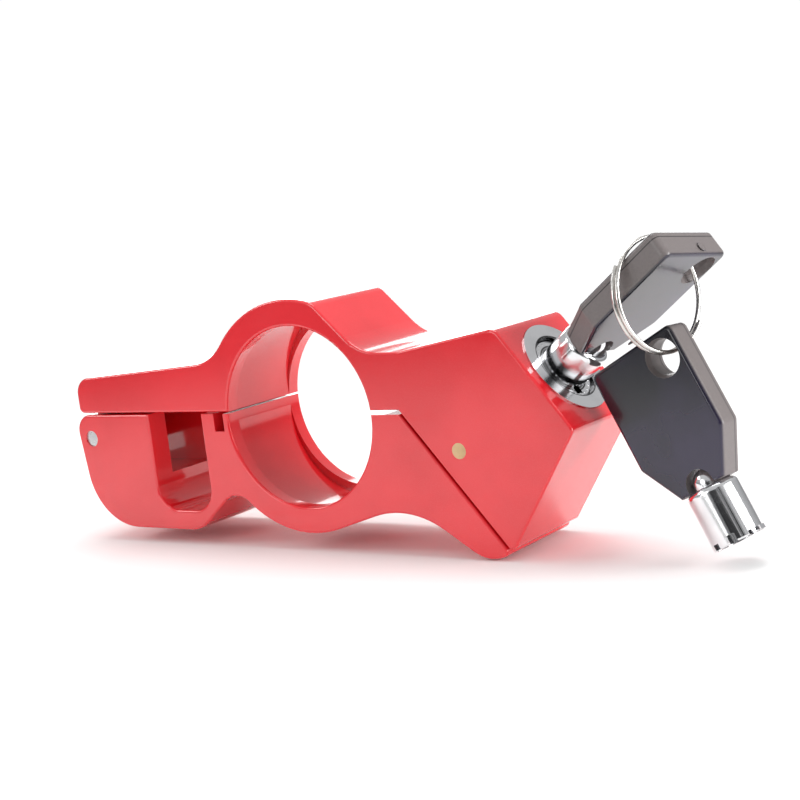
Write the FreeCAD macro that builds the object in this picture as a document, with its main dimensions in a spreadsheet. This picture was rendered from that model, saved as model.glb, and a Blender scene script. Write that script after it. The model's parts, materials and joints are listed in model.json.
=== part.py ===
# Handlebar grip lock: two hinged jaws close round a grip and its brake lever, and a tubular-key
# lock in the end block turns a hammer-head bolt that holds them shut. Millimetres, +Z up.
# The origin is the centre of the grip bore; +X runs towards the lock, -Y is the front face.
import FreeCAD, Part
import Sketcher
import math
import os
from FreeCAD import Placement, Rotation, Vector

sizes = {
    # jaws
    "jawThickness": 23, "boreRadius": 18, "archWall": 5.2, "edgeRadius": 0.5,
    "boreRelief": 1.9, "boreRim": 3.2,
    "upperReach": 60.9, "tailEndHeight": 8.7, "archLeft": 20.2, "archRight": 7.2,
    "shoulderFootX": 17.2, "valleyHeight": 12.2, "blockStartX": 26, "blockCornerX": 47.5,
    "blockCornerHeight": 15.8, "faceAngle": 52.5, "faceLength": 23.1,
    "seamUpper": 1.3, "seamLeft": 0.9, "seamRight": 0.5, "seamGap": 0.45,
    "seamTopX": 24.6, "seamAngle": 50.6, "seamLength": 34.3,
    "lowerReach": 62.7, "lowerHeelX": 59.7, "lowerDepth": 23.7, "lobeEndX": 29.6,
    "lobeLeft": 18.3, "lobeRight": 7, "bellyX": 24.4, "bellyDepth": 16.7,
    "toeX": 40.7, "toeDepth": 27.1,
    "tailEndRadius": 3.6, "archFootRadius": 11, "archCrestRadius": 3, "shoulderFootRadius": 11,
    "blockCornerRadius": 2.5, "smallCornerRadius": 1.2, "lowerNoseRadius": 3.8,
    "heelRadius": 13, "lobeFootRadius": 8, "lobeNotchRadius": 5, "bellyRadius": 19,
    "toeRadius": 7,
    # lever slot, hinge
    "slotLeft": 40.5, "slotRight": 25.5, "slotDepth": 19.5, "slotCorner": 5,
    "notchLeft": 21.9, "notchWidth": 2.6, "notchDepth": 2.7,
    "hingeX": 58.3, "hingeDepth": 4.3, "hingePinRadius": 1.75, "pinClearance": 0.06,
    "tongueRadius": 4, "tongueRight": 53.6, "cavityWidth": 13, "tongueClearance": 0.2,
    "cavityFloor": 12.5, "pinInset": 0.3,
    # lock barrel, measured along the lock axis from the lock face inwards
    "axisFromCorner": 11.3, "barrelRadius": 9.4, "barrelProud": 0.3, "barrelLength": 24,
    "barrelBore": 6.7, "barrelFloor": 4, "barrelClearance": 0.05,
    "bushingFront": 0.5, "bushingLip": 6.15, "bushingLipDepth": 0.8, "bushingBack": 3.45,
    "keywayRadius": 4.75, "nibGroove": 0.95, "runningGap": 0.05,
    "rotorLength": 4.9, "statorLength": 4.95, "shaftRadius": 2.5, "postRadius": 2.95,
    "postFront": 0.8, "shaftEnd": 19.6, "hubRadius": 3.3,
    "pinRadius": 0.55, "chamberRadius": 0.62, "pinCircle": 3.85, "pinCount": 8,
    "driverLength": 1.8, "springLength": 2.6, "springWire": 0.1, "springTurns": 5,
    "clipRadius": 4.6, "clipThickness": 0.8, "clipGroove": 0.45,
    "boltShank": 2, "boltClearance": 0.08, "shankEmbed": 4, "headHalfLength": 4.5,
    "headWidth": 4.2, "headThickness": 2, "headStart": 2.1, "pocketClearance": 0.3,
    "channelReach": 10.2,
    "retainerDepth": 21.6, "retainerRadius": 1.5, "retainerLength": 5.2,
    # keys
    "keyRoll": 82, "tubeRadius": 4.65, "tubeBore": 3.05, "tubeLength": 10.4,
    "tubeBoreDepth": 6.5, "nibWidth": 1.4, "nibHeight": 0.7, "nibLength": 0.8,
    "fluteWidth": 1.4, "collarRadius": 2.7, "collarLength": 3.3, "tangWidth": 5,
    "tangThickness": 2, "tangLength": 8, "headWide": 19.4, "headThick": 5.2, "partingAt": 3.9,
    "headStraight": 18.9, "headTaper": 7.8, "neckWidth": 10, "notchRadius": 2.85,
    "headCorner": 1.3, "headShoulder": 1.5, "headEdge": 0.8, "tubeShoulder": 1.2, "tubeLip": 0.3,
    "ringHoleRadius": 3.1, "ringHoleAcross": 5.4, "ringHoleIn": 4.4,
    "ringHoleFlare": 0.35, "flareDepth": 1.2,
    # split ring
    "ringRadius": 9.9, "ringWire": 0.8, "ringPitch": 0.95, "ringTurns": 1.5, "ringStartAngle": 245,
    "ringYaw": -155.7, "ringPitchAngle": 25.6, "ringRoll": 157.8,
    "wireAcross": 0.1, "wireUp": -0.42, "secondWireAcross": 0.9, "secondWireUp": 0.5,
    "secondKeyOnRing": -67, "secondKeyYaw": 141.7, "secondKeyPitch": 67.3, "secondKeyRoll": 25.4,
}

# How deep each flute on the key's tip is cut; each key pin is longer by the same amount.
bitting = [0.6, 1.3, 0.9, 1.6, 0.7, 1.1, 1.5, 0.8]

doc = FreeCAD.newDocument("gripLock")
sheet = doc.addObject("Spreadsheet::Sheet", "dims")
for row, (name, value) in enumerate(sizes.items(), start=1):
    sheet.set(f"A{row}", name)
    sheet.set(f"B{row}", str(value))
    sheet.setAlias(f"B{row}", name)
doc.recompute()




def on_sheet(text):
    # Writes dims. before each size's name, so that expressions can be given in plain words.
    words = []
    word = ""
    for letter in text + " ":
        if letter.isalnum():
            word += letter
        else:
            words.append("dims." + word if word in sizes else word)
            words.append(letter)
            word = ""
    return "".join(words).strip()


def worked(formula):
    # The number that a formula of the sheet's sizes comes to.
    return float(doc.getObject("dims").evalExpression(on_sheet(formula)))


def bind(piece, **formulas):
    for prop, formula in formulas.items():
        piece.setExpression(prop.replace("__", "."), on_sheet(formula))
    return piece


def primitive(kind, name, at=("0", "0", "0"), **formulas):
    piece = doc.addObject("Part::" + kind, name)
    bind(piece, **formulas)
    for axis, place in zip("xyz", at):
        piece.setExpression("Placement.Base." + axis, on_sheet(place))
    return piece


def cylinder(name, radius, height, at=("0", "0", "0")):
    return primitive("Cylinder", name, at, Radius=radius, Height=height)


def box(name, length, width, height, at):
    return primitive("Box", name, at, Length=length, Width=width, Height=height)


def joined(name, *pieces):
    fuse = doc.addObject("Part::MultiFuse", name)
    fuse.Shapes = list(pieces)
    return fuse


def cut(name, base, *tools):
    result = doc.addObject("Part::Cut", name)
    result.Base = base
    result.Tool = tools[0] if len(tools) == 1 else joined(name + "Tools", *tools)
    return result


def across(piece, x, y, z):
    # Lays a cylinder along +Y from the point given.
    piece.Placement = Placement(Vector(), Rotation(Vector(1, 0, 0), -90))
    return bind(piece, Placement__Base__x=x, Placement__Base__y=y, Placement__Base__z=z)


# The lock frame: its origin is where the lock axis leaves the face, its +Z points out of the
# face, its +X runs down the face and its +Y is the model's.
faceX = "(blockCornerX + axisFromCorner * cos(faceAngle))"
faceZ = "(blockCornerHeight - axisFromCorner * sin(faceAngle))"


def seat_in_lock(piece):
    piece.Placement = Placement(Vector(), Rotation(Vector(0, 1, 0), 1))
    bind(piece, Placement__Base__x=faceX, Placement__Base__z=faceZ)
    piece.setExpression("Placement.Rotation.Angle", "dims.faceAngle")
    return piece


def lock_frame():
    doc.recompute()
    base = Vector(worked(faceX), 0, worked(faceZ))
    return Placement(base, Rotation(Vector(0, 1, 0), worked("faceAngle")))


def new_body(name):
    body = doc.addObject("PartDesign::Body", name)
    return body


def new_sketch(body, name, role="XZ_Plane", offset=None):
    sketch = body.newObject("Sketcher::SketchObject", name)
    plane = [f for f in body.Origin.OriginFeatures if f.Role == role][0]
    sketch.AttachmentSupport = [(plane, "")]
    sketch.MapMode = "FlatFace"
    if offset:
        sketch.setExpression("AttachmentOffset.Base.z", on_sheet(offset))
    return sketch


def outline(body, name, corners, role="XZ_Plane", offset=None, arc=None):
    # A closed outline through the corners, each a pair of formulas. arc gives the corner that
    # an arc round the origin starts from, its radius and whether it runs anticlockwise; its two
    # ends sit on the circle at the distance across that their corners give.
    sketch = new_sketch(body, name, role, offset)
    points = [Vector(worked(x), worked(y), 0) for x, y in corners]
    count = len(points)
    arcAt, arcRadius, forward = arc or (-1, "0", True)
    arcEnds = (arcAt, (arcAt + 1) % count) if arc else ()
    for i, point in enumerate(points):
        after = points[(i + 1) % count]
        if i == arcAt:
            first, last = (point, after) if forward else (after, point)
            angles = [math.atan2(end.y, end.x) for end in (first, last)]
            circle = Part.Circle(Vector(), Vector(0, 0, 1), worked(arcRadius))
            sketch.addGeometry(Part.ArcOfCircle(circle, *angles))
        else:
            sketch.addGeometry(Part.LineSegment(point, after))
    start = [2 if i == arcAt and not forward else 1 for i in range(count)]
    for i, (x, y) in enumerate(corners):
        after = (i + 1) % count
        sketch.addConstraint(Sketcher.Constraint("Coincident", i, 3 - start[i], after, start[after]))
        hold(sketch, x, "DistanceX", -1, 1, i, start[i])
        if i not in arcEnds:
            hold(sketch, y, "DistanceY", -1, 1, i, start[i])
    if arc:
        sketch.addConstraint(Sketcher.Constraint("Coincident", arcAt, 3, -1, 1))
        hold(sketch, arcRadius, "Radius", arcAt)
    return sketch


def hold(sketch, formula, kind, *geometry):
    # A constraint whose value follows the sheet.
    index = sketch.addConstraint(Sketcher.Constraint(kind, *geometry, worked(formula)))
    sketch.setExpression(f"Constraints[{index}]", on_sheet(formula))


def pad(body, name, sketch, length, symmetric=True):
    feature = body.newObject("PartDesign::Pad", name)
    feature.Profile = sketch
    if symmetric:
        feature.SideType = "Symmetric"
    bind(feature, Length=length)
    doc.recompute()
    return feature


def pocket(body, name, sketch, length=None, symmetric=True):
    before = body.Shape.Volume
    feature = body.newObject("PartDesign::Pocket", name)
    feature.Profile = sketch
    if symmetric:
        feature.SideType = "Symmetric"
    bind(feature, Length=length)
    doc.recompute()
    if not body.Shape.Volume < before - 1e-6:
        raise RuntimeError(name + " cuts nothing")
    return feature


def rounded(body, name, radius, places, direction=Vector(0, 1, 0)):
    # Rounds the edges that run along the direction through the points given.
    tip = body.Tip
    found = []
    for i, edge in enumerate(tip.Shape.Edges, start=1):
        if not isinstance(edge.Curve, Part.Line):
            continue
        if abs(abs(edge.Curve.Direction.dot(direction)) - 1) > 1e-6:
            continue
        for x, z in places:
            near = Vector(worked(x), 0, worked(z))
            if edge.Curve.projectPoint(near, "NearestPoint").distanceToPoint(near) < 0.02:
                found.append(f"Edge{i}")
    if len(set(found)) < len(places):
        raise RuntimeError(f"{name}: {len(set(found))} edges found for {len(places)} corners")
    fillet = body.newObject("PartDesign::Fillet", name)
    fillet.Base = (tip, sorted(set(found)))
    bind(fillet, Radius=radius)
    doc.recompute()
    return fillet


parts = {}


def node(name, piece):
    piece.Label = name
    parts[name] = piece
    return piece


# --- Upper jaw: tail, arch over the grip and the lock block, with the hinge tongue below the tail
seamBottomX = "(seamTopX + seamLength * cos(seamAngle))"
seamBottomZ = "(seamUpper - seamLength * sin(seamAngle))"
faceBottomX = "(blockCornerX + faceLength * cos(faceAngle))"
faceBottomZ = "(blockCornerHeight - faceLength * sin(faceAngle))"
archLeftZ = "sqrt((boreRadius + archWall) ^ 2 - archLeft ^ 2)"
archRightZ = "sqrt((boreRadius + archWall) ^ 2 - archRight ^ 2)"

upperCorners = [
    ("-upperReach", "seamUpper"),
    ("-upperReach", "tailEndHeight"),
    ("-archLeft", archLeftZ),
    ("archRight", archRightZ),
    ("shoulderFootX", "valleyHeight"),
    ("blockStartX", "valleyHeight"),
    ("blockCornerX", "blockCornerHeight"),
    (faceBottomX, faceBottomZ),
    (seamBottomX, seamBottomZ),
    ("seamTopX", "seamUpper"),
]
upper = new_body("upperBody")
profile = outline(upper, "upperOutline", upperCorners, arc=(2, "boreRadius + archWall", False))
pad(upper, "upperBlank", profile, "jawThickness")
rounded(upper, "tailEnd", "tailEndRadius", [upperCorners[1]])
rounded(upper, "archFoot", "archFootRadius", [upperCorners[2]])
rounded(upper, "archCrest", "archCrestRadius", [upperCorners[3]])
rounded(upper, "shoulderFoot", "shoulderFootRadius", [upperCorners[4]])
rounded(upper, "blockCorner", "blockCornerRadius", [upperCorners[6]])
rounded(upper, "smallCorners", "smallCornerRadius", [upperCorners[0], upperCorners[7], upperCorners[8]])


# --- Lower jaw: hinge ears and lever slot on the left, the other half of the bore, and the toe
seamNormalX = "(seamGap * sin(seamAngle))"
seamNormalZ = "(seamGap * cos(seamAngle))"
lowerFaceTopX = ("(seamTopX - seamNormalX"
                 " + (seamUpper - seamRight - seamNormalZ) / tan(seamAngle))")
lowerFaceTopX = lowerFaceTopX.replace("seamNormalX", seamNormalX).replace("seamNormalZ", seamNormalZ)
lobeLeftZ = "(-sqrt((boreRadius + archWall) ^ 2 - lobeLeft ^ 2))"
lobeRightZ = "(-sqrt((boreRadius + archWall) ^ 2 - lobeRight ^ 2))"

lowerCorners = [
    ("-lowerReach", "seamLeft"),
    ("-lowerHeelX", "-lowerDepth"),
    ("-lobeEndX", "-lowerDepth"),
    ("-lobeLeft", lobeLeftZ),
    ("lobeRight", lobeRightZ),
    ("bellyX", "-bellyDepth"),
    ("toeX", "-toeDepth"),
    (f"{seamBottomX} - {seamNormalX}", f"{seamBottomZ} - {seamNormalZ}"),
    (lowerFaceTopX, "seamRight"),
    ("0", "seamRight"),
    ("0", "seamLeft"),
]
lower = new_body("lowerBody")
profile = outline(lower, "lowerOutline", lowerCorners, arc=(3, "boreRadius + archWall", True))
pad(lower, "lowerBlank", profile, "jawThickness")
rounded(lower, "noseRound", "lowerNoseRadius", [lowerCorners[0]])
rounded(lower, "heelRound", "heelRadius", [lowerCorners[1]])
rounded(lower, "lobeFoot", "lobeFootRadius", [lowerCorners[2]])
rounded(lower, "lobeNotch", "lobeNotchRadius", [lowerCorners[3]])
rounded(lower, "belly", "bellyRadius", [lowerCorners[5]])
rounded(lower, "toeRound", "toeRadius", [lowerCorners[6]])
rounded(lower, "toeTip", "smallCornerRadius", [lowerCorners[7]])


def bore_cut(body, prefix, side):
    # The grip bore, and a shallow relief between its two rims.
    for name, centre, length in (("Bore", "0", "jawThickness + 2"),
                                 ("Relief", f"{side} * boreRelief", "jawThickness - 2 * boreRim")):
        sketch = new_sketch(body, prefix + name + "Circle")
        sketch.addGeometry(Part.Circle(Vector(0, worked(centre), 0), Vector(0, 0, 1), worked("boreRadius")))
        hold(sketch, "boreRadius", "Radius", 0)
        hold(sketch, "0", "DistanceX", -1, 1, 0, 3)
        hold(sketch, centre, "DistanceY", -1, 1, 0, 3)
        pocket(body, prefix + name, sketch, length)


def soften(body, name, ceiling="boreRadius + archWall + 1"):
    # Rounds the front and back edges round the jaw, but not those wholly above the ceiling.
    tip = body.Tip
    half = worked("jawThickness / 2")
    found = []
    for i, edge in enumerate(tip.Shape.Edges, start=1):
        if all(abs(abs(v.Point.y) - half) < 1e-4 for v in edge.Vertexes) and \
                abs(abs(edge.CenterOfMass.y) - half) < 1e-3 and \
                min(v.Point.z for v in edge.Vertexes) < worked(ceiling):
            found.append(f"Edge{i}")
    fillet = body.newObject("PartDesign::Fillet", name)
    fillet.Base = (tip, found)
    bind(fillet, Radius="edgeRadius")
    doc.recompute()
    return fillet


bore_cut(upper, "upper", 1)
soften(upper, "upperEdges")
bore_cut(lower, "lower", -1)

slotCorners = [
    ("-slotLeft", "seamLeft + 1"),
    ("-slotLeft", "-slotDepth"),
    ("-slotRight", "-slotDepth"),
    ("-slotRight", "seamLeft + 1"),
]
pocket(lower, "leverSlot", outline(lower, "slotOutline", slotCorners), "jawThickness + 2")
rounded(lower, "slotBottom", "slotCorner", slotCorners[1:3])
soften(lower, "lowerEdges", "seamRight - 0.1")
notchCorners = [
    ("-notchLeft", "seamLeft + 1"),
    ("-notchLeft", "-notchDepth"),
    ("-notchLeft + notchWidth", "-notchDepth"),
    ("-notchLeft + notchWidth", "seamLeft + 1"),
]
pocket(lower, "landNotch", outline(lower, "notchOutline", notchCorners), "jawThickness + 2")
cavityCorners = [
    ("-lowerReach - 1", "seamLeft + 1"),
    ("-lowerReach - 1", "-cavityFloor"),
    ("-slotLeft + 1", "-cavityFloor"),
    ("-slotLeft + 1", "seamLeft + 1"),
]
pocket(lower, "hingeCavity", outline(lower, "cavityOutline", cavityCorners), "cavityWidth")

# --- Hinge: the tongue under the upper jaw turns on a pin pressed through the lower jaw's ears
tongueWidth = "(cavityWidth - 2 * tongueClearance)"
tongueRound = across(cylinder("tongueRound", "tongueRadius", tongueWidth),
                     "-hingeX", f"-{tongueWidth} / 2", "-hingeDepth")
tongueWeb = box("tongueWeb", "upperReach - tongueRight", tongueWidth, "hingeDepth + seamUpper + 2",
                ("-upperReach", f"-{tongueWidth} / 2", "-hingeDepth"))
tongueHole = across(cylinder("tongueHole", "hingePinRadius + pinClearance", "jawThickness"),
                    "-hingeX", "-jawThickness / 2", "-hingeDepth")
earHole = across(cylinder("earHole", "hingePinRadius", "jawThickness + 2"),
                 "-hingeX", "-jawThickness / 2 - 1", "-hingeDepth")
hingePin = across(cylinder("hingePinBar", "hingePinRadius", "jawThickness - 2 * pinInset"),
                  "-hingeX", "-jawThickness / 2 + pinInset", "-hingeDepth")
node("hinge_pin", hingePin)


# --- Lock barrel and what is in it, each piece drawn along +Z in the lock frame
def barrel_cylinder(name, radius, inner, outer):
    # A round bar on the lock axis between two depths below the face.
    return cylinder(name, radius, f"({inner}) - ({outer})", ("0", "0", f"-({inner})"))


def around(piece, angle, x="0", z="0"):
    # Stands a piece off the lock axis by x, turned about the axis by an angle.
    turn = on_sheet(angle)
    piece.Placement = Placement(Vector(), Rotation(Vector(0, 0, 1), 1))
    piece.setExpression("Placement.Rotation.Angle", turn)
    piece.setExpression("Placement.Base.x", on_sheet(f"({x}) * cos({angle})"))
    piece.setExpression("Placement.Base.y", on_sheet(f"({x}) * sin({angle})"))
    piece.setExpression("Placement.Base.z", on_sheet(z))
    return piece


def radial_box(name, angle, inner, outer, width, deep, shallow):
    # A block standing outwards from the lock axis between two radii and two depths.
    piece = doc.addObject("Part::Box", name)
    bind(piece, Length=f"({outer}) - ({inner})", Width=width, Height=f"({deep}) - ({shallow})")
    piece.Placement = Placement(Vector(), Rotation(Vector(0, 0, 1), 1))
    piece.setExpression("Placement.Rotation.Angle", on_sheet(angle))
    piece.setExpression("Placement.Base.x",
                        on_sheet(f"({inner}) * cos({angle}) + ({width}) / 2 * sin({angle})"))
    piece.setExpression("Placement.Base.y",
                        on_sheet(f"({inner}) * sin({angle}) - ({width}) / 2 * cos({angle})"))
    piece.setExpression("Placement.Base.z", on_sheet(f"-({deep})"))
    return piece


pinAngles = [f"(keyRoll + 360 / pinCount * {k + 0.5})" for k in range(int(worked("pinCount")))]
rotorFront = "(bushingBack + runningGap)"
keyInsertion = "(bushingBack - runningGap)"
rotorBack = f"({rotorFront} + rotorLength)"
statorFront = f"({rotorBack} + runningGap)"
statorBack = f"({statorFront} + statorLength)"
clipFront = f"({statorBack} + runningGap)"
clipBack = f"({clipFront} + clipThickness)"

retainerHole = cylinder("retainerHole", "retainerRadius", "retainerLength + 1")
retainerHole.Placement = Placement(Vector(), Rotation(Vector(1, 0, 0), -90))
bind(retainerHole, Placement__Base__y="-jawThickness / 2 - 1", Placement__Base__z="-retainerDepth")
barrel = cut(
    "barrelTurned",
    barrel_cylinder("barrelBlank", "barrelRadius", "barrelLength", "-barrelProud"),
    barrel_cylinder("barrelInside", "barrelBore", "barrelLength - barrelFloor", "-barrelProud - 1"),
    barrel_cylinder("barrelRearHole", "boltShank + boltClearance", "barrelLength + 1",
                    "barrelLength - barrelFloor - 1"),
    retainerHole,
)
node("lock_barrel", seat_in_lock(barrel))

bushingTools = [
    barrel_cylinder("keyway", "keywayRadius", "bushingBack + 1", "bushingFront - 1"),
    barrel_cylinder("nibTrack", "keywayRadius + nibGroove", "bushingBack + 1", "bushingBack - nibGroove"),
]
for turn, label in (("keyRoll", "Home"), ("(keyRoll - 90)", "Turned")):
    bushingTools.append(radial_box("nibSlot" + label, turn, "keywayRadius - 1",
                                   "keywayRadius + nibGroove", "nibWidth + 0.4",
                                   "bushingBack", "bushingFront - 1"))
bushing = cut(
    "bushingTurned",
    joined("bushingBlank",
           barrel_cylinder("bushingRing", "barrelBore", "bushingBack", "bushingFront + bushingLipDepth"),
           barrel_cylinder("bushingLipRing", "bushingLip", "bushingBack", "bushingFront")),
    *bushingTools,
)
node("front_bushing", seat_in_lock(bushing))


def drilled(name, blank, centre, front, back):
    # Bores the ring of pin chambers and the middle of a tumbler piece.
    tools = [barrel_cylinder(name + "Centre", centre, f"{statorBack} + 1", f"{front} - 1")]
    for k, angle in enumerate(pinAngles):
        chamber = cylinder(f"{name}Chamber{k}", "chamberRadius", f"({back}) - ({front}) + 1")
        tools.append(around(chamber, angle, "pinCircle", f"-({back})"))
    return cut(name + "Drilled", blank, *tools)


rotor = drilled("rotor", barrel_cylinder("rotorBlank", "barrelBore - runningGap", rotorBack, rotorFront),
                "shaftRadius", rotorFront, f"{rotorBack} + 1")
node("rotor", seat_in_lock(rotor))
springDepth = f"({statorFront} + driverLength + springLength)"
stator = drilled("stator", barrel_cylinder("statorBlank", "barrelBore", statorBack, statorFront),
                 "shaftRadius + runningGap", statorFront, springDepth)
node("stator", seat_in_lock(stator))

# The spindle: its post guides the key, its shaft carries the rotor, its hub takes the bolt.
spindle = cut(
    "spindleTurned",
    joined("spindleBlank",
           barrel_cylinder("spindlePost", "postRadius", rotorFront, "postFront"),
           barrel_cylinder("spindleShaft", "shaftRadius", clipBack, rotorFront),
           barrel_cylinder("spindleHub", "hubRadius", "shaftEnd", f"{clipBack} + runningGap"),
           barrel_cylinder("spindleNeck", "shaftRadius", f"{clipBack} + 1", clipBack)),
    barrel_cylinder("spindleSocket", "boltShank", "shaftEnd + 1", "shaftEnd - shankEmbed"),
)
clipRing = barrel_cylinder("clipRing", "clipRadius", clipBack, clipFront)
clipHole = barrel_cylinder("clipHole", "shaftRadius - clipGroove", f"{clipBack} + 1", f"{clipFront} - 1")
clipMouth = radial_box("clipMouth", "keyRoll", "0", "clipRadius + 1",
                       "2 * (shaftRadius - clipGroove) - 0.4", f"{clipBack} + 1", f"{clipFront} - 1")
clip = cut("clipCut", clipRing, clipHole, clipMouth)
grooveRing = cut("clipGrooveRing",
                 barrel_cylinder("clipGrooveOuter", "clipRadius + 1", clipBack, clipFront),
                 barrel_cylinder("clipGrooveInner", "shaftRadius - clipGroove", f"{clipBack} + 1",
                                 f"{clipFront} - 1"))
node("spindle", seat_in_lock(cut("spindleGrooved", spindle, grooveRing)))
node("retaining_clip", seat_in_lock(clip))

retainer = cylinder("retainerBar", "retainerRadius", "retainerLength")
retainer.Placement = Placement(Vector(), Rotation(Vector(1, 0, 0), -90))
bind(retainer, Placement__Base__x=f"{faceX} - retainerDepth * sin(faceAngle)",
     Placement__Base__y="-jawThickness / 2",
     Placement__Base__z=f"{faceZ} - retainerDepth * cos(faceAngle)")
node("barrel_retaining_pin", retainer)

# The bolt: a shank through the barrel's floor and the jaw, with a hammer head in the lower jaw.
axisToSeam = (f"((({faceX} - seamTopX) * sin(seamAngle) + ({faceZ} - seamUpper) * cos(seamAngle))"
              " / cos(faceAngle - seamAngle))")
headFront = f"({axisToSeam} + seamGap + headStart)"
headBack = f"({headFront} + headThickness)"


def hammer_head(name, slack):
    # A disc with two flats: the bolt's head, or the room that it leaves by when slack is given.
    disc = barrel_cylinder(name + "Disc", f"headHalfLength + {slack}", f"{headBack} + {slack}",
                           f"{headFront} - {slack}")
    flats = box(name + "Flats", "4 * headHalfLength", f"headWidth + 2 * {slack}",
                f"headThickness + 2 * {slack}",
                ("-2 * headHalfLength", f"-(headWidth / 2 + {slack})", f"-({headBack} + {slack})"))
    common = doc.addObject("Part::Common", name)
    common.Base = disc
    common.Tool = flats
    return common


bolt = joined("boltForged",
              barrel_cylinder("boltShankBar", "boltShank", headBack, "shaftEnd - shankEmbed"),
              hammer_head("boltHead", "0"))
node("turn_bolt", seat_in_lock(bolt))


def tumblers(name, radius, ends):
    # One bar in each chamber, between the depths that ends gives for it.
    bars = []
    for k, angle in enumerate(pinAngles):
        inner, outer = ends(k)
        bar = cylinder(f"{name}{k}", radius, f"({inner}) - ({outer})")
        bars.append(around(bar, angle, "pinCircle", f"-({inner})"))
    group = doc.addObject("Part::Compound", name)
    group.Links = bars
    return group


keyPins = tumblers("keyPinGroup", "pinRadius",
                   lambda k: (f"{rotorBack} - 0.02", f"{keyInsertion} + 0.03 - {bitting[k]}"))
node("key_pins", seat_in_lock(keyPins))
driverBack = f"({statorFront} + 0.02 + driverLength)"
driverPins = tumblers("driverPinGroup", "pinRadius", lambda k: (driverBack, f"{statorFront} + 0.02"))
node("driver_pins", seat_in_lock(driverPins))

coil = doc.addObject("Part::Helix", "springPath")
coil.SegmentLength = 1
bind(coil, Radius="pinRadius - springWire", Height="springLength - 0.1 - 2 * springWire",
     Pitch="(springLength - 0.1 - 2 * springWire) / springTurns")
wireEnd = doc.addObject("Part::Circle", "springWireEnd")
wireEnd.Placement = Placement(Vector(), Rotation(Vector(1, 0, 0), 90))
bind(wireEnd, Radius="springWire", Placement__Base__x="pinRadius - springWire")
doc.recompute()
spring = doc.addObject("Part::Sweep", "spring")
spring.Sections = [wireEnd]
spring.Spine = (coil, [f"Edge{i + 1}" for i in range(len(coil.Shape.Edges))])
spring.Solid = True
spring.Frenet = True
doc.recompute()
coils = []
for angle in pinAngles:
    place = Placement(Vector(), Rotation(Vector(0, 0, 1), worked(angle)))
    lift = worked(f"-({driverBack} + springLength - 0.05 - springWire)")
    copy = spring.Shape.copy()
    copy.Placement = place.multiply(Placement(Vector(worked("pinCircle"), 0, lift), Rotation()))
    coils.append(copy)
springs = doc.addObject("Part::Feature", "springGroup")
springs.Shape = Part.makeCompound(coils)
springs.Placement = lock_frame()
node("driver_springs", springs)

# --- The jaws, with everything that passes through them cut out
lockRoom = joined(
    "lockRoom",
    barrel_cylinder("barrelRoom", "barrelRadius + barrelClearance", "barrelLength", "-barrelRadius"),
    barrel_cylinder("boltRoom", "boltShank + boltClearance", f"{axisToSeam} + 4", "barrelLength - 1"),
)
seat_in_lock(lockRoom)
retainerRoom = cylinder("retainerRoom", "retainerRadius", "retainerLength")
retainerRoom.Placement = Placement(Vector(), Rotation(Vector(1, 0, 0), -90))
bind(retainerRoom, Placement__Base__x=f"{faceX} - retainerDepth * sin(faceAngle)",
     Placement__Base__y="-jawThickness / 2",
     Placement__Base__z=f"{faceZ} - retainerDepth * cos(faceAngle)")
upperWhole = joined("upperWhole", upper, tongueRound, tongueWeb)
node("upper_jaw", cut("upperJaw", upperWhole, tongueHole, lockRoom, retainerRoom))

headRoom = joined(
    "headRoom",
    barrel_cylinder("headTurningRoom", "headHalfLength + pocketClearance",
                    f"{headBack} + pocketClearance", f"{headFront} - pocketClearance"),
    box("headEntry", "channelReach + headHalfLength + pocketClearance",
        "headWidth + 2 * pocketClearance", f"{headBack} + pocketClearance - {axisToSeam} + 2",
        ("-channelReach", "-(headWidth / 2 + pocketClearance)", f"-({headBack} + pocketClearance)")),
)
seat_in_lock(headRoom)
node("lower_jaw", cut("lowerJaw", lower, earHole, headRoom))


# --- Keys, drawn with the tip at the origin, +Z towards the head and -Y the wide face
keyLength = "(tubeLength + headTaper + headStraight)"
headCorners = [
    ("-neckWidth / 2", "tubeLength"),
    ("neckWidth / 2", "tubeLength"),
    ("headWide / 2", "tubeLength + headTaper"),
    ("headWide / 2", keyLength),
    ("-headWide / 2", keyLength),
    ("-headWide / 2", "tubeLength + headTaper"),
]


def round_rims(body, name, radius, rims):
    # Rounds the circular edges of the radii and heights given.
    tip = body.Tip
    found = []
    for i, edge in enumerate(tip.Shape.Edges, start=1):
        for wide, high in rims:
            if isinstance(edge.Curve, Part.Circle) and abs(edge.Curve.Radius - worked(wide)) < 1e-4 \
                    and abs(edge.Curve.Center.z - worked(high)) < 1e-4:
                found.append(f"Edge{i}")
    fillet = body.newObject("PartDesign::Fillet", name)
    fillet.Base = (tip, found)
    bind(fillet, Radius=radius)
    doc.recompute()


def soften_face(body, name, level):
    # Rounds every edge of the flat face at one level of Y.
    tip = body.Tip
    found = [f"Edge{i}" for i, edge in enumerate(tip.Shape.Edges, start=1)
             if all(abs(v.Point.y - worked(level)) < 1e-4 for v in edge.Vertexes)]
    fillet = body.newObject("PartDesign::Fillet", name)
    fillet.Base = (tip, found)
    bind(fillet, Radius="headEdge")
    doc.recompute()


def flare(name, front):
    # A cone that opens the ring hole out towards one face.
    cone = doc.addObject("Part::Cone", name)
    wide, narrow = "ringHoleRadius + ringHoleFlare", "ringHoleRadius"
    bind(cone, Radius1=wide if front else narrow, Radius2=narrow if front else wide, Height="flareDepth")
    return cone


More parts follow.
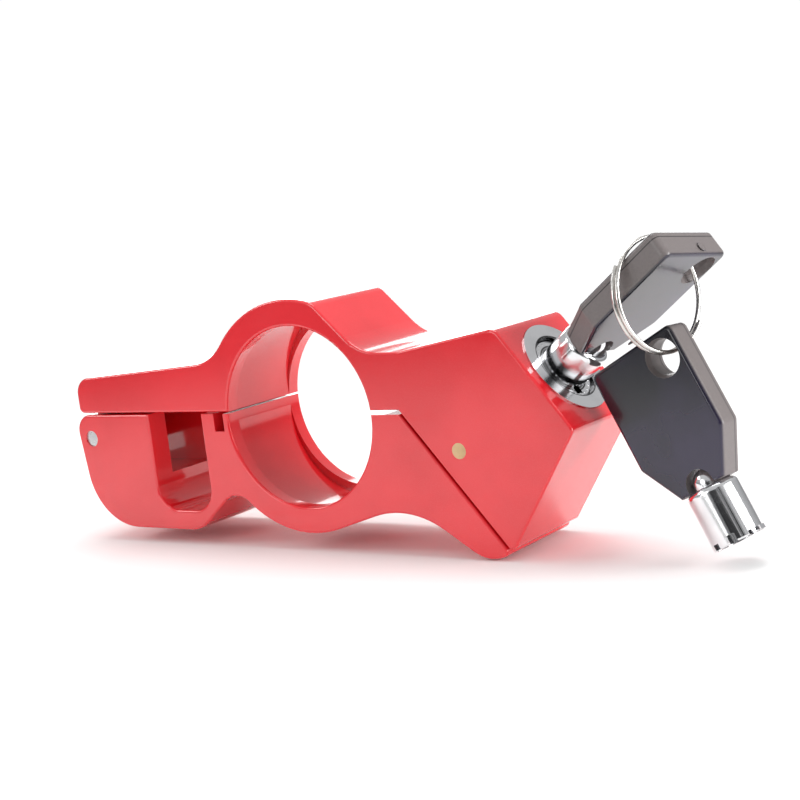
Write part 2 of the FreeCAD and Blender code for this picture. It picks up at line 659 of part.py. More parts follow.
def head_half(prefix, name, start, length, level):
    body = new_body(prefix + name + "Body")
    sketch = outline(body, prefix + name + "Outline", headCorners, offset=f"-({start})")
    pad(body, prefix + name + "Pad", sketch, length, symmetric=False)
    rounded(body, prefix + name + "Corners", "headCorner", headCorners[3:5])
    rounded(body, prefix + name + "Shoulders", "headShoulder", [headCorners[2], headCorners[5]])
    soften_face(body, prefix + name + "Edges", level)
    tools = [
        across(cylinder(prefix + name + "NotchRound", "notchRadius", "headThick + 2"),
               "0", "-headThick / 2 - 1", "tubeLength + collarLength - collarRadius"),
        box(prefix + name + "NotchMouth", "2 * notchRadius", "headThick + 2",
            "collarLength - collarRadius + 1",
            ("-notchRadius", "-headThick / 2 - 1", "tubeLength - 1")),
        across(cylinder(prefix + name + "RingHole", "ringHoleRadius", "headThick + 2"),
               "ringHoleAcross", "-headThick / 2 - 1", f"{keyLength} - ringHoleIn"),
        across(flare(prefix + name + "Flare", name == "Front"), "ringHoleAcross",
               "-headThick / 2" if name == "Front" else "headThick / 2 - flareDepth",
               f"{keyLength} - ringHoleIn"),
    ]
    if name == "Front":
        tools.append(box(prefix + "TangPocket", "tangWidth", "tangThickness + 1",
                         "tangLength + collarLength",
                         ("-tangWidth / 2", "partingAt - headThick / 2 - tangThickness", "tubeLength")))
    return cut(prefix + name + "Half", body, *tools)


def make_key(prefix):
    # A key's three pieces: the tube with its tang, and the two moulded halves of the head.
    tube = new_body(prefix + "TubeBody")
    sketch = new_sketch(tube, prefix + "TubeCircle", "XY_Plane")
    sketch.addGeometry(Part.Circle(Vector(), Vector(0, 0, 1), worked("tubeRadius")))
    sketch.addConstraint(Sketcher.Constraint("Coincident", 0, 3, -1, 1))
    hold(sketch, "tubeRadius", "Radius", 0)
    pad(tube, prefix + "TubePad", sketch, "tubeLength", symmetric=False)
    round_rims(tube, prefix + "TubeShoulder", "tubeShoulder", [("tubeRadius", "tubeLength")])
    round_rims(tube, prefix + "TubeLip", "tubeLip", [("tubeRadius", "0")])
    collar = cylinder(prefix + "Collar", "collarRadius", "collarLength - collarRadius + 1",
                      ("0", "0", "tubeLength - 1"))
    dome = primitive("Sphere", prefix + "Dome", ("0", "0", "tubeLength + collarLength - collarRadius"),
                     Radius="collarRadius")
    tang = box(prefix + "Tang", "tangWidth", "tangThickness", "tangLength + collarLength",
               ("-tangWidth / 2", "partingAt - headThick / 2 - tangThickness", "tubeLength"))
    nib = box(prefix + "Nib", "tubeRadius + nibHeight - tubeBore - 0.5", "nibWidth", "nibLength",
              ("tubeBore + 0.5", "-nibWidth / 2", "0"))
    flutes = [cylinder(prefix + "TubeBore", "tubeBore", "tubeBoreDepth + 1", ("0", "0", "-1"))]
    for k, depth in enumerate(bitting):
        flute = doc.addObject("Part::Box", f"{prefix}Flute{k}")
        angle = f"(360 / pinCount * {k + 0.5})"
        inner = "(pinCircle - fluteWidth / 2)"
        bind(flute, Length="tubeRadius", Width="fluteWidth", Height=f"{depth} + 1")
        flute.Placement = Placement(Vector(), Rotation(Vector(0, 0, 1), 1))
        flute.setExpression("Placement.Rotation.Angle", on_sheet(angle))
        bind(flute, Placement__Base__x=f"{inner} * cos({angle}) + fluteWidth / 2 * sin({angle})",
             Placement__Base__y=f"{inner} * sin({angle}) - fluteWidth / 2 * cos({angle})")
        flute.setExpression("Placement.Base.z", "-1")
        flutes.append(flute)
    blank = joined(prefix + "TubeBlank", tube, collar, dome, tang, nib)
    parting = "(partingAt - headThick / 2)"
    front = head_half(prefix, "Front", parting, "partingAt", "-headThick / 2")
    back = head_half(prefix, "Back", "headThick / 2", "headThick - partingAt", "headThick / 2")
    return {"tube": cut(prefix + "TubeCut", blank, *flutes), "head_front": front, "head_back": back}


def placed(pieces, label, frame):
    for kind, piece in pieces.items():
        piece.Placement = frame
        node(f"{label}_{kind}", piece)


keyOne = lock_frame().multiply(
    Placement(Vector(0, 0, -worked(keyInsertion)), Rotation(Vector(0, 0, 1), worked("keyRoll"))))
placed(make_key("keyOne"), "key_1", keyOne)

# --- Split ring: in its own frame it starts at key 1's hole, +X to its centre, +Z its normal
holeInKey = Vector(worked("ringHoleAcross"), 0, worked(f"{keyLength} - ringHoleIn"))
wireInKeyOne = holeInKey + Vector(worked("wireAcross"), 0, worked("wireUp"))
wireInKeyTwo = holeInKey + Vector(worked("secondWireAcross"), 0, worked("secondWireUp"))
ringTurn = Rotation(worked("ringYaw"), worked("ringPitchAngle"), worked("ringRoll"))
ringFrame = keyOne.multiply(Placement(wireInKeyOne, ringTurn))
ringPath = doc.addObject("Part::Helix", "ringPath")
ringPath.SegmentLength = 1
bind(ringPath, Radius="ringRadius", Height="ringPitch * ringTurns", Pitch="ringPitch")
ringWire = doc.addObject("Part::Circle", "ringWireEnd")
ringWire.Placement = Placement(Vector(), Rotation(Vector(1, 0, 0), 90))
bind(ringWire, Radius="ringWire / 2", Placement__Base__x="ringRadius")
doc.recompute()
ring = doc.addObject("Part::Sweep", "splitRing")
ring.Sections = [ringWire]
ring.Spine = (ringPath, [f"Edge{i + 1}" for i in range(len(ringPath.Shape.Edges))])
ring.Solid = True
ring.Frenet = True
ringStart = Rotation(Vector(0, 0, 1), worked("ringStartAngle"))
ring.Placement = ringFrame.multiply(
    Placement(Vector(worked("ringRadius"), 0, worked("-ringPitch * ringTurns / 2")), ringStart))
node("key_ring", ring)

# --- The second key hangs on the ring by its hole
onRing = math.radians(worked("secondKeyOnRing"))
wireOnRing = Vector(1 + math.cos(onRing), math.sin(onRing), 0) * worked("ringRadius")
secondTurn = Rotation(worked("secondKeyYaw"), worked("secondKeyPitch"), worked("secondKeyRoll"))
keyTwo = ringFrame.multiply(Placement(wireOnRing, secondTurn)).multiply(Placement(-wireInKeyTwo, Rotation()))
placed(make_key("keyTwo"), "key_2", keyTwo)

# --- Check every object and every piece, then write the pieces
doc.recompute()
for thing in doc.Objects:
    if "Invalid" in thing.State or "Error" in thing.State:
        raise RuntimeError(f"{thing.Name} failed: {thing.State}")
os.makedirs("parts", exist_ok=True)
for name, piece in parts.items():
    shape = piece.Shape
    if shape.isNull() or not shape.isValid() or not shape.Solids:
        raise RuntimeError(name + " has no valid shape")
    shape.exportStep(f"parts/{name}.step")
    print(f"{name}: {len(shape.Solids)} solids, {shape.Volume:.1f} mm3")
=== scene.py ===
import json
import math
import bpy
import bmesh
from mathutils import Matrix, Quaternion, Vector


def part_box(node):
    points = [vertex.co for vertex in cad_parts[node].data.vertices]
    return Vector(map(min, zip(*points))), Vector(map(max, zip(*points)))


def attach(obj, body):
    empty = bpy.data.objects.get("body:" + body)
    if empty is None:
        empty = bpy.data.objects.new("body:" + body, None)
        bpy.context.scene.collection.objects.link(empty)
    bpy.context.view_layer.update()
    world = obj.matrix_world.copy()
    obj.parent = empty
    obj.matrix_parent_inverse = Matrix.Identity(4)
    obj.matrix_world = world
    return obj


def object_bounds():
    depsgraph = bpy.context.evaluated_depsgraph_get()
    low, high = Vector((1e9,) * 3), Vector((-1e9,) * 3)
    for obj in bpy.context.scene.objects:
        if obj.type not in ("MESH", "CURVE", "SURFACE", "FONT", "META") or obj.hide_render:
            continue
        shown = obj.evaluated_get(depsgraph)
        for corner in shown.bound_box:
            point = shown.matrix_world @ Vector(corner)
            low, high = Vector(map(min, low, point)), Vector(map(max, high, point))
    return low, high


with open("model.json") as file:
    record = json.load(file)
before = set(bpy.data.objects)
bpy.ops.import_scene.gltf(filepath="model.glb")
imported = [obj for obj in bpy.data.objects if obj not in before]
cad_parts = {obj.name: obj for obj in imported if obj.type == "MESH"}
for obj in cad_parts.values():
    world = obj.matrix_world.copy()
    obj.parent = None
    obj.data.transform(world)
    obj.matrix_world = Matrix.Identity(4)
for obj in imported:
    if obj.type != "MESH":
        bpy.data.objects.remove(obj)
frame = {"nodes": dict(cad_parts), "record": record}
cadLow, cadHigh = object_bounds()
nodes = frame["nodes"]
record = frame["record"]
joints = {joint["name"]: joint for joint in record["behaviour"]["joints"]}
print("frame loaded:", len(nodes), "nodes")

mm = 0.001


def axisOf(joint):
    return Vector(joints[joint]["axis"]).normalized()


def placeOf(joint):
    return Vector(joints[joint]["pos_m"])


lockOut = -axisOf("key_turn")             # points out of the lock's face
lockFace = placeOf("key_turn")
hingeAt = placeOf("jaw_hinge")


class Wire:
    # one output socket; sums on it add Math nodes
    def __init__(self, look, socket):
        self.look = look
        self.socket = socket

    def maths(self, kind, first, second):
        return self.look.node("ShaderNodeMath", {"operation": kind}, {0: first, 1: second})

    def __add__(self, other):
        return self.maths("ADD", self, other)

    def __radd__(self, other):
        return self.maths("ADD", other, self)

    def __sub__(self, other):
        return self.maths("SUBTRACT", self, other)

    def __rsub__(self, other):
        return self.maths("SUBTRACT", other, self)

    def __mul__(self, other):
        return self.maths("MULTIPLY", self, other)

    def __rmul__(self, other):
        return self.maths("MULTIPLY", other, self)

    def __pow__(self, other):
        return self.maths("POWER", self, other)

    def __abs__(self):
        return self.maths("ABSOLUTE", self, 0)

    def sine(self):
        return self.maths("SINE", self, 0)

    def above(self, low, high):
        # 0 below low, 1 above high, a smooth step between
        return self.look.node("ShaderNodeMapRange", {"interpolation_type": "SMOOTHSTEP"},
                              {"Value": self, "From Min": low, "From Max": high})


class Look:
    # a shader tree that is written as sums
    def __init__(self, tree):
        self.tree = tree
        tree.nodes.clear()

    def node(self, kind, settings, values, out=0):
        made = self.tree.nodes.new(kind)
        for key, value in settings.items():
            if key == "stops":
                ends = made.color_ramp.elements
                for end, (place, shade) in ((ends[0], value[0]), (ends[1], value[-1])):
                    end.position, end.color = place, (*shade, 1)
                for place, shade in value[1:-1]:
                    ends.new(place).color = (*shade, 1)
            else:
                setattr(made, key, value)
        for key, value in values.items():
            if isinstance(value, Wire):
                self.tree.links.new(value.socket, made.inputs[key])
            else:
                made.inputs[key].default_value = value
        return Wire(self, made.outputs[out]) if made.outputs else None

    def place(self):
        return self.node("ShaderNodeTexCoord", {}, {}, "Object")

    def facing(self):
        return self.node("ShaderNodeTexCoord", {}, {}, "Normal")

    def vector(self, kind, first, second, out=0):
        return self.node("ShaderNodeVectorMath", {"operation": kind}, {0: first, 1: second}, out)

    def dot(self, first, second):
        return self.vector("DOT_PRODUCT", first, second, "Value")

    def noise(self, scale, detail=2.0, where=None):
        return self.node("ShaderNodeTexNoise", {}, {"Vector": where or self.place(), "Scale": scale,
                                                    "Detail": detail})

    def cells(self, scale):
        return self.node("ShaderNodeTexVoronoi", {}, {"Vector": self.place(), "Scale": scale})

    def stretched(self, turn, size):
        return self.node("ShaderNodeMapping", {}, {"Vector": self.place(), "Rotation": turn, "Scale": size})

    def blend(self, mask, first, second):
        paint = {}
        for key, shade in ((6, first), (7, second)):
            paint[key] = shade if isinstance(shade, Wire) else (*shade, 1)
        return self.node("ShaderNodeMix", {"data_type": "RGBA"}, {0: mask, **paint}, 2)

    def aboutAxis(self, centre, axis):
        # how far a point is from an axis, and how far along it
        arm = self.vector("SUBTRACT", self.place(), centre)
        along = self.dot(arm, axis)
        return (self.dot(arm, arm) - along * along) ** 0.5, along

    def bump(self, height, strength, depth):
        return self.node("ShaderNodeBump", {}, {"Height": height, "Strength": strength, "Distance": depth})

    def finish(self, **sockets):
        values = {}
        for key, value in sockets.items():
            name = {"colour": "Base Color", "roughness": "Roughness", "metallic": "Metallic",
                    "coat": "Coat Weight", "coatRoughness": "Coat Roughness", "normal": "Normal"}[key]
            values[name] = (*value, 1) if isinstance(value, tuple) else value
        shader = self.node("ShaderNodeBsdfPrincipled", {}, values)
        self.node("ShaderNodeOutputMaterial", {}, {"Surface": shader})


def newLook(name):
    material = bpy.data.materials.new(name)
    material.use_nodes = True
    return material, Look(material.node_tree)


# clear red coat over the cast jaws
lacquer = {
    "bright": (0.80, 0.020, 0.030), "deep": (0.70, 0.012, 0.020), "patch": 45, "peel": 620,
    "fleck": (0.95, 0.16, 0.17), "fleckShare": 0.08, "flake": 5200, "smudge": 95, "scratch": 900,
    "scratchTurn": (0.2, 0.5, 0.9), "scratchPull": (0.04, 1.6, 1.0), "rough": 0.13, "coat": 0.85,
    "coatRough": 0.05, "bumpDepth": 0.15 * mm,
}


def makeLacquer():
    material, look = newLook("redLacquer")
    patch = look.noise(lacquer["patch"], 3).above(0.35, 0.68)
    flake = look.cells(lacquer["flake"]).above(0.05, 0.55)
    colour = look.blend(patch, lacquer["bright"], lacquer["deep"])
    colour = look.blend((1 - flake) * lacquer["fleckShare"], colour, lacquer["fleck"])
    smudge = look.noise(lacquer["smudge"], 4).above(0.45, 0.75)
    grain = look.stretched(lacquer["scratchTurn"], lacquer["scratchPull"])
    hairs = look.noise(lacquer["scratch"], 1, grain).above(0.60, 0.78)
    height = look.noise(lacquer["peel"], 2) + flake * 0.05 - hairs * 0.2
    look.finish(colour=colour, roughness=lacquer["rough"] + smudge * 0.08 + hairs * 0.05,
                coat=lacquer["coat"] - hairs * 0.2, coatRoughness=lacquer["coatRough"],
                normal=look.bump(height, 0.05, lacquer["bumpDepth"]))
    return material


# bright plating: the lock's face, its bushing and the keys' tubes
plating = {"shade": (0.84, 0.845, 0.86), "worn": (0.58, 0.58, 0.60), "lathe": 2 * math.pi / (0.11 * mm),
           "grooveAt": (6.72 * mm, 5.0 * mm), "grooveHalf": 0.10 * mm, "grooveDepth": 2 * mm,
           "groovePaintedShade": (0.02, 0.02, 0.022), "rough": 0.07, "bumpDepth": 0.05 * mm,
           "smooth": {"stain": 0.08, "rough": 0.03, "dent": 0.1},
           "speckled": {"stain": 0.55, "rough": 0.22, "dent": 1.2}}


def makePlating(name, centre, axis, speckled=False, grooved=False):
    material, look = newLook(name)
    pitting = plating["speckled" if speckled else "smooth"]
    away, along = look.aboutAxis(centre, axis)
    turned = (away * plating["lathe"]).sine() + (along * plating["lathe"] * 0.7).sine()
    smudge = look.noise(160, 4).above(0.42, 0.72)
    pits = 1 - look.cells(2100).above(0.10, 0.32)
    colour = look.blend(smudge * 0.35 + pits * pitting["stain"], plating["shade"], plating["worn"])
    # grooves: thin rings coloured near-black, painted shade in the gaps round the lock's face, and sunk by
    # the bump
    groove = 0.0
    for radius in plating["grooveAt"] if grooved else ():
        line = 1 - abs(away - radius).above(plating["grooveHalf"], plating["grooveHalf"] * 2.2)
        groove = line + groove
    if grooved:
        groove = groove * (1 - abs(along).above(plating["grooveDepth"], plating["grooveDepth"] * 1.3))
        colour = look.blend(groove * 0.9, colour, plating["groovePaintedShade"])
    height = turned * 0.5 - pits * pitting["dent"] + smudge * 0.4 - groove * 2
    look.finish(colour=colour, metallic=1.0,
                roughness=plating["rough"] + smudge * 0.10 + pits * pitting["rough"],
                normal=look.bump(height, 0.06, plating["bumpDepth"]))
    return material


# machined metals, told apart by colour and by how coarse the cut is
def makeMachined(name, shade, dull, centre, axis, pitch, roughness):
    material, look = newLook(name)
    away, along = look.aboutAxis(centre, axis)
    turned = (away * (2 * math.pi / pitch)).sine()
    grime = look.noise(240, 4).above(0.40, 0.72)
    grit = look.noise(2600, 2)
    colour = look.blend(grime * 0.5 + grit * 0.15, shade, dull)
    look.finish(colour=colour, metallic=1.0, roughness=roughness + grime * 0.12 + grit * 0.06,
                normal=look.bump(turned * 0.6 + grit * 0.5, 0.12, 0.04 * mm))
    return material


# moulded key heads: polished faces, satin edges and a seam where the halves meet
headPlastic = {
    "face": (0.007, 0.007, 0.012), "paintedSheen": (0.024, 0.018, 0.048), "edge": (0.185, 0.160, 0.155),
    "seamAt": 1.3 * mm, "seamHalf": 0.07 * mm, "seamShade": (0.012, 0.010, 0.012), "pebble": 3000,
    "rough": 0.17, "coat": 0.45, "coatRough": 0.08, "bumpDepth": 0.06 * mm,
}


def makeHeadPlastic(name, hole, axis):
    material, look = newLook(name)
    arm = look.vector("SUBTRACT", look.place(), hole)
    seam = 1 - abs(look.dot(arm, axis) - headPlastic["seamAt"]).above(
        headPlastic["seamHalf"], headPlastic["seamHalf"] * 2)
    side = 1 - abs(look.dot(look.facing(), axis)).above(0.25, 0.85)
    seam = seam * side
    cloud = look.noise(70, 3).above(0.30, 0.75)
    pebble = look.noise(headPlastic["pebble"], 2)
    rub = look.noise(330, 4).above(0.50, 0.80)
    # clouds of purple on the black faces are a painted sheen
    colour = look.blend(cloud, headPlastic["face"], headPlastic["paintedSheen"])
    # the side faces are coloured a lighter brownish grey: partly their satin finish, partly a painted
    # reflection of the bright room
    colour = look.blend(side * (0.72 + pebble * 0.3), colour, headPlastic["edge"])
    colour = look.blend(seam * 0.85, colour, headPlastic["seamShade"])
    height = pebble * (0.15 + side * 0.5) - seam * 2.5 - rub * 0.1
    look.finish(colour=colour, roughness=headPlastic["rough"] + side * 0.24 + rub * 0.08 + pebble * 0.04,
                coat=headPlastic["coat"] - side * 0.3, coatRoughness=headPlastic["coatRough"],
                normal=look.bump(height, 0.16, headPlastic["bumpDepth"]))
    return material


keyOneAxis, keyOneHole = axisOf("ring_swing"), placeOf("ring_swing")
keyTwoAxis, keyTwoHole = axisOf("key_2_swing"), placeOf("key_2_swing")
hingeAxis = Vector((0, 1, 0))


def middleOf(node):
    low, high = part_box(node)
    return (Vector(low) + Vector(high)) / 2


redCoat = makeLacquer()
facePlating = makePlating("lockPlating", lockFace, lockOut, grooved=True)
speckledPlating = makePlating("speckledPlating", lockFace, lockOut, speckled=True)
tubeOnePlating = makePlating("keyPlating", lockFace, lockOut)
tubeTwoPlating = makePlating("spareKeyPlating", middleOf("key_2_tube"), keyTwoAxis)
plugMetal = makeMachined("plugMetal", (0.62, 0.57, 0.46), (0.36, 0.31, 0.22), lockFace, lockOut,
                         0.2 * mm, 0.26)
pinBrass = makeMachined("pinBrass", (0.66, 0.47, 0.27), (0.40, 0.26, 0.13), middleOf("barrel_retaining_pin"),
                        hingeAxis, 0.25 * mm, 0.28)
pinSteel = makeMachined("pinSteel", (0.74, 0.74, 0.75), (0.44, 0.44, 0.46), hingeAt, hingeAxis,
                        0.3 * mm, 0.22)
workSteel = makeMachined("workSteel", (0.56, 0.57, 0.59), (0.33, 0.33, 0.35), lockFace, lockOut,
                         0.3 * mm, 0.30)
ringMetal = makeMachined("ringNickel", (0.76, 0.74, 0.71), (0.45, 0.43, 0.40), keyOneHole, keyOneAxis,
                         0.4 * mm, 0.16)
keyOnePlastic = makeHeadPlastic("keyPlastic", keyOneHole, keyOneAxis)
keyTwoPlastic = makeHeadPlastic("spareKeyPlastic", keyTwoHole, keyTwoAxis)

finishes = {
    "upper_jaw": redCoat, "lower_jaw": redCoat, "hinge_pin": pinSteel, "lock_barrel": facePlating,
    "front_bushing": facePlating, "rotor": speckledPlating, "stator": plugMetal, "spindle": workSteel,
    "retaining_clip": workSteel, "turn_bolt": workSteel, "barrel_retaining_pin": pinBrass,
    "key_pins": pinBrass, "driver_pins": workSteel, "driver_springs": workSteel, "key_1_tube": tubeOnePlating,
    "key_2_tube": tubeTwoPlating, "key_1_head_front": keyOnePlastic, "key_1_head_back": keyOnePlastic,
    "key_2_head_front": keyTwoPlastic, "key_2_head_back": keyTwoPlastic, "key_ring": ringMetal,
}
for name, material in finishes.items():
    mesh = nodes[name].data
    mesh.materials.clear()
    mesh.materials.append(material)
print("finishes made:", len(finishes))


# rings of small beads, made by a node tree: the ring's radius, how many beads, and a bead's radius
beads = {"lock": (5.75 * mm, 26, 0.21 * mm), "hinge": (1.15 * mm, 9, 0.10 * mm),
         "segments": 10, "rings": 6, "flattened": (1, 1, 0.4)}


def beadTree(material):
    tree = bpy.data.node_groups.new("beadRing", "GeometryNodeTree")
    face = tree.interface
    face.new_socket("Geometry", in_out="INPUT", socket_type="NodeSocketGeometry")
    for label, kind in (("Radius", "NodeSocketFloat"), ("Count", "NodeSocketInt"),
                        ("Bead Radius", "NodeSocketFloat")):
        face.new_socket(label, in_out="INPUT", socket_type=kind)
    face.new_socket("Geometry", in_out="OUTPUT", socket_type="NodeSocketGeometry")
    made = {}
    for key, kind in (("start", "NodeGroupInput"), ("circle", "GeometryNodeMeshCircle"),
                      ("bead", "GeometryNodeMeshUVSphere"), ("flatten", "GeometryNodeTransform"),
                      ("copies", "GeometryNodeInstanceOnPoints"),
                      ("real", "GeometryNodeRealizeInstances"), ("paint", "GeometryNodeSetMaterial"),
                      ("end", "NodeGroupOutput")):
        made[key] = tree.nodes.new(kind)
    made["bead"].inputs["Segments"].default_value = beads["segments"]
    made["bead"].inputs["Rings"].default_value = beads["rings"]
    made["flatten"].inputs["Scale"].default_value = beads["flattened"]
    made["paint"].inputs["Material"].default_value = material
    for tail, tip in ((("start", "Radius"), ("circle", "Radius")),
                      (("start", "Count"), ("circle", "Vertices")),
                      (("start", "Bead Radius"), ("bead", "Radius")),
                      (("bead", "Mesh"), ("flatten", "Geometry")),
                      (("circle", "Mesh"), ("copies", "Points")),
                      (("flatten", "Geometry"), ("copies", "Instance")),
                      (("copies", "Instances"), ("real", "Geometry")),
                      (("real", "Geometry"), ("paint", "Geometry")),
                      (("paint", "Geometry"), ("end", "Geometry"))):
        tree.links.new(made[tail[0]].outputs[tail[1]], made[tip[0]].inputs[tip[1]])
    return tree


def grown(name, tree, values):
    # runs a node tree on an empty mesh and keeps the result as a plain mesh
    holder = bpy.data.objects.new(name, bpy.data.meshes.new(name))
    bpy.context.collection.objects.link(holder)
    modifier = holder.modifiers.new("tree", "NODES")
    modifier.node_group = tree
    for item in tree.interface.items_tree:
        if item.in_out == "INPUT" and item.name in values:
            modifier[item.identifier] = values[item.name]
    evaluated = holder.evaluated_get(bpy.context.evaluated_depsgraph_get())
    mesh = bpy.data.meshes.new_from_object(evaluated)
    holder.modifiers.clear()
    holder.data = mesh
    return holder


def beadRing(name, centre, axis, size, material, body):
    radius, count, bead = size
    ring = grown(name, beadTree(material), {"Radius": radius, "Count": count, "Bead Radius": bead})
    turn = axis.to_track_quat("Z", "Y").to_matrix().to_4x4()
    ring.data.transform(Matrix.Translation(centre) @ turn)
    for polygon in ring.data.polygons:
        polygon.use_smooth = True
    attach(ring, body)


bushingHigh = max((Vector(corner.co) - lockFace).dot(lockOut)
                  for corner in nodes["front_bushing"].data.vertices)
beadRing("bushing_beads", lockFace + lockOut * bushingHigh, lockOut, beads["lock"], facePlating, "upper_jaw")
pinLow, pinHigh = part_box("hinge_pin")
for label, side, end in (("front", -1, pinLow), ("back", 1, pinHigh)):
    edge = Vector(end).y
    beadRing(f"hinge_pin_beads_{label}", Vector((hingeAt.x, edge, hingeAt.z)), hingeAxis * side,
             beads["hinge"], pinSteel, "lower_jaw")
print("beads made")


# the small raised rim that a mould's gate leaves on each key's end face
gate = {"radius": 0.75 * mm, "rim": 0.16 * mm, "proud": 0.05 * mm, "across": 1.2 * mm, "aside": 0.55,
        "steps": 28}


def moulded(name, node, hole, axis, tube, material, body):
    outward = middleOf(node) - middleOf(tube)
    outward = (outward - axis * outward.dot(axis)).normalized()
    reach = max((Vector(corner.co) - hole).dot(outward) for corner in nodes[node].data.vertices)
    sideways = axis.cross(outward)
    middle = middleOf(node) - hole
    start = (hole + outward * reach + sideways * (middle.dot(sideways) * gate["aside"])
             - axis * gate["across"])
    shape = bmesh.new()
    rings = []
    profile = [(gate["radius"] + gate["rim"], -gate["proud"]),
               (gate["radius"] + gate["rim"] * 0.5, gate["proud"]),
               (gate["radius"], 0.0), (gate["radius"] * 0.4, -gate["proud"] * 0.2)]
    for radius, height in profile:
        rings.append([shape.verts.new(start + sideways * (radius * math.cos(turn))
                                      + axis * (radius * math.sin(turn)) + outward * height)
                      for turn in (2 * math.pi * k / gate["steps"] for k in range(gate["steps"]))])
    for outer, inner in zip(rings, rings[1:]):
        for k in range(gate["steps"]):
            after = (k + 1) % gate["steps"]
            shape.faces.new((outer[k], outer[after], inner[after], inner[k]))
    shape.faces.new(rings[-1])
    shape.faces.new(list(reversed(rings[0])))
    bmesh.ops.recalc_face_normals(shape, faces=shape.faces)
    mesh = bpy.data.meshes.new(name)
    shape.to_mesh(mesh)
    shape.free()
    mesh.materials.append(material)
    for polygon in mesh.polygons:
        polygon.use_smooth = True
    mark = bpy.data.objects.new(name, mesh)
    bpy.context.collection.objects.link(mark)
    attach(mark, body)


moulded("key_1_gate_mark", "key_1_head_front", keyOneHole, keyOneAxis, "key_1_tube", keyOnePlastic, "key_1")
moulded("key_2_gate_mark", "key_2_head_front", keyTwoHole, keyTwoAxis, "key_2_tube", keyTwoPlastic, "key_2")
print("gate marks made")


# floor, cards and lights: a light has its place, size and power, a card its place and its two sides
studio = {
    "floorDrop": 0.3 * mm, "floorSize": 2.4, "fadeFrom": 0.12, "fadeTo": 0.42,
    "floorShade": (0.93, 0.93, 0.925), "floorMottle": (0.88, 0.88, 0.88), "cardShade": (0.02, 0.02, 0.022),
    "lights": {
        "overhead": ((-0.05, 0.12, 0.75), 0.45, 2.9), "frontFill": ((-0.25, -0.80, 0.25), 0.45, 1.5),
        "rightStrip": ((0.70, 0.10, 0.12), 0.45, 5.0), "leftStrip": ((-0.55, -0.30, 0.40), 0.20, 0.7),
        "backWindow": ((-0.58, 0.76, 0.20), 0.60, 3.4),
    },
    "cards": {"low": ((0.12, -0.42, -0.03), (0.9, 0.06)), "side": ((0.42, -0.30, 0.10), (0.10, 0.5)),
              "behind": ((0.30, -0.62, 0.10), (0.45, 0.40))},
}


def flatPiece(name, wide, high, material):
    mesh = bpy.data.meshes.new(name)
    corners = [(x * wide / 2, y * high / 2, 0) for x, y in ((-1, -1), (1, -1), (1, 1), (-1, 1))]
    mesh.from_pydata(corners, [], [(0, 1, 2, 3)])
    mesh.materials.append(material)
    piece = bpy.data.objects.new(name, mesh)
    bpy.context.collection.objects.link(piece)
    return piece


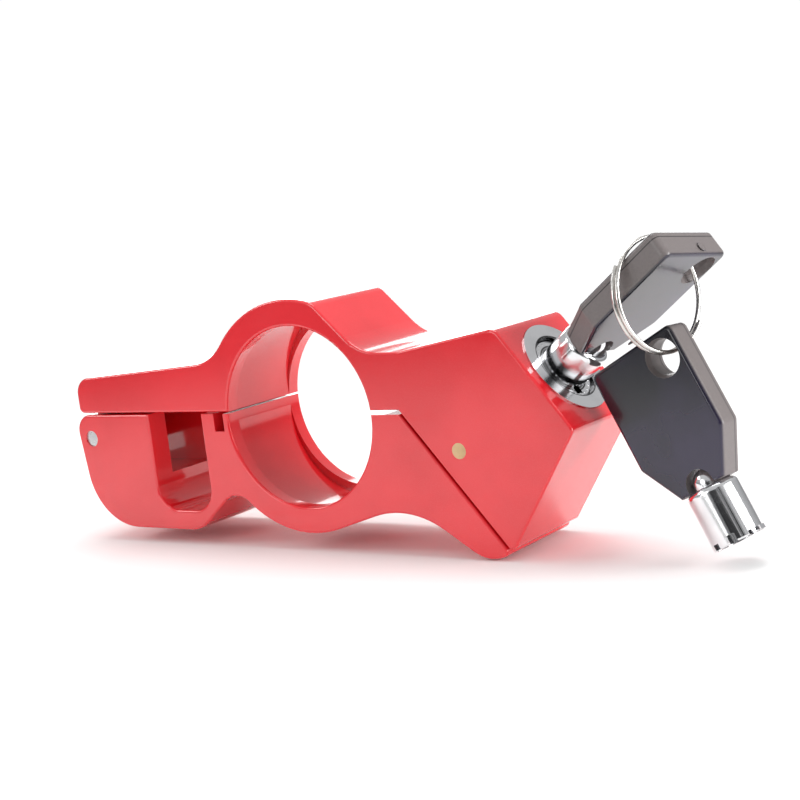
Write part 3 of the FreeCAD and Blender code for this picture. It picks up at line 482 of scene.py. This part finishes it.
def makeStage():
    material, look = newLook("paleFloor")
    mottle = look.noise(9, 3)
    away, _ = look.aboutAxis((0, 0, 0), (0, 0, 1))
    fade = away.above(studio["fadeFrom"], studio["fadeTo"])
    colour = look.blend(mottle * 0.2, studio["floorShade"], studio["floorMottle"])
    paint = look.node("ShaderNodeBsdfDiffuse", {}, {"Color": colour})
    clear = look.node("ShaderNodeBsdfTransparent", {}, {})
    mixed = look.node("ShaderNodeMixShader", {}, {0: fade, 1: paint, 2: clear})
    look.node("ShaderNodeOutputMaterial", {}, {"Surface": mixed})
    floor = flatPiece("floor", studio["floorSize"], studio["floorSize"], material)
    floor.location.z = cadLow.z - studio["floorDrop"]
    dark, darkLook = newLook("darkReflectionCard")
    darkLook.finish(colour=studio["cardShade"], roughness=0.8)
    # the dark cards are seen only by glossy rays: they paint dark reflections into the shiny parts
    for name, (place, (wide, high)) in studio["cards"].items():
        card = flatPiece(name + "Card", wide, high, dark)
        card.location = place
        card.rotation_mode = "QUATERNION"
        card.rotation_quaternion = (-Vector(place)).to_track_quat("Z", "Y")
        card.visible_camera = False
        card.visible_shadow = False
        card.visible_diffuse = False
    for name, (place, size, power) in studio["lights"].items():
        lamp = bpy.data.lights.new(name, "AREA")
        lamp.size, lamp.energy = size, power
        shown = bpy.data.objects.new(name, lamp)
        shown.location = place
        shown.rotation_mode = "QUATERNION"
        shown.rotation_quaternion = Vector(place).to_track_quat("Z", "Y")
        bpy.context.collection.objects.link(shown)
        shown.visible_camera = False


def makeAir():
    world = bpy.data.worlds.new("softAir")
    bpy.context.scene.world = world
    world.use_nodes = True
    look = Look(world.node_tree)
    ray = look.node("ShaderNodeTexCoord", {}, {}, "Generated")
    height = look.dot(ray, (0, 0, 1))
    stops = [(0.0, (0.16, 0.16, 0.17)), (0.48, (0.30, 0.30, 0.31)), (0.60, (0.62, 0.62, 0.63)),
             (1.0, (0.95, 0.95, 0.95))]
    shade = look.node("ShaderNodeValToRGB", {"stops": stops}, {"Fac": height * 0.5 + 0.5})
    seen = look.node("ShaderNodeLightPath", {}, {}, "Is Camera Ray")
    shade = look.blend(seen, shade, (1.0, 1.0, 1.0))
    glow = look.node("ShaderNodeBackground", {}, {"Color": shade, "Strength": 0.72 + seen * 0.30})
    look.node("ShaderNodeOutputWorld", {}, {"Surface": glow})


makeStage()
makeAir()
bpy.context.scene.view_settings.view_transform = "Standard"
print("stage made")

# the camera: what it looks at, from how far, round, up and rolled
camera = {"target": (0.01688, 0.0, 0.00116), "distance": 0.3101, "azimuth": 36.66, "elevation": 8.33,
          "roll": -6.98, "lens": 72.0, "sensor": 36.0}


def makeCamera():
    turn, rise = math.radians(camera["azimuth"]), math.radians(camera["elevation"])
    back = Vector((math.sin(turn) * math.cos(rise), -math.cos(turn) * math.cos(rise), math.sin(rise)))
    data = bpy.data.cameras.new("camera")
    data.lens, data.sensor_width = camera["lens"], camera["sensor"]
    data.clip_start = 0.01
    shown = bpy.data.objects.new("camera", data)
    bpy.context.collection.objects.link(shown)
    shown.location = Vector(camera["target"]) + back * camera["distance"]
    shown.rotation_mode = "QUATERNION"
    roll = Quaternion((0, 0, 1), math.radians(camera["roll"]))
    shown.rotation_quaternion = (-back).to_track_quat("-Z", "Y") @ roll
    bpy.context.scene.camera = shown


makeCamera()
